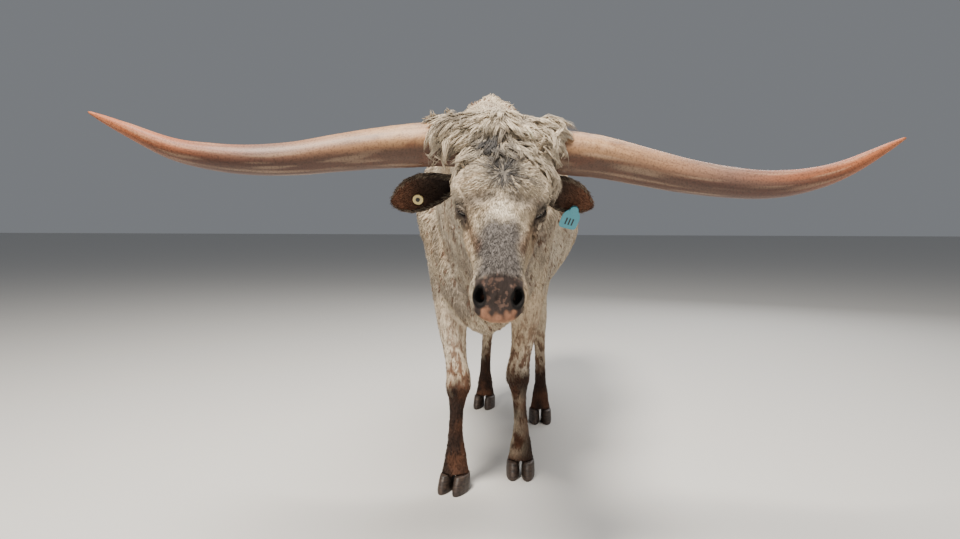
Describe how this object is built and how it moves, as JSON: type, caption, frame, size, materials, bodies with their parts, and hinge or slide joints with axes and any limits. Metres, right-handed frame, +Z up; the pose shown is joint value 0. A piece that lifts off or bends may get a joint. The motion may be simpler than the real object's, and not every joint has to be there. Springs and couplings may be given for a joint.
{
  "type": "texas longhorn steer",
  "caption": "Life-size still model of a standing longhorn steer with wide level horns, lowered head, shaggy poll and ear tags.",
  "frame": {"origin": "on the floor under the middle of the model's bounding box", "axes": "+Z up; +Y towards the tail, so the head faces -Y; +X towards the animal's left"},
  "size_m": [2.1262, 2.5138, 1.4313],
  "materials": {
    "hide": "short cream hair with brown flecks",
    "hide_dark": "short dark brown hair",
    "hair": "long shaggy hair",
    "hoof": "dull horn",
    "horn": "smooth horn",
    "eye": "wet",
    "tag_yellow": "weathered",
    "tag_blue": "weathered"
  },
  "bodies": {
    "root": {"torso": "hide", "neck": "hide", "head": "hide", "poll": "hair", "leg_front_left": "hide_dark", "leg_front_right": "hide_dark", "leg_hind_left": "hide_dark", "leg_hind_right": "hide_dark", "hoof_front_left_outer": "hoof", "hoof_front_left_inner": "hoof", "hoof_front_right_outer": "hoof", "hoof_front_right_inner": "hoof", "hoof_hind_left_outer": "hoof", "hoof_hind_left_inner": "hoof", "hoof_hind_right_outer": "hoof", "hoof_hind_right_inner": "hoof", "horn_left": "horn", "horn_right": "horn", "eye_left": "eye", "eye_right": "eye", "ear_left": "hide_dark", "ear_right": "hide_dark", "tail": "hide", "tail_switch": "hair", "ear_button": "tag_yellow", "ear_tag": "tag_blue"}
  },
  "joints": []
}
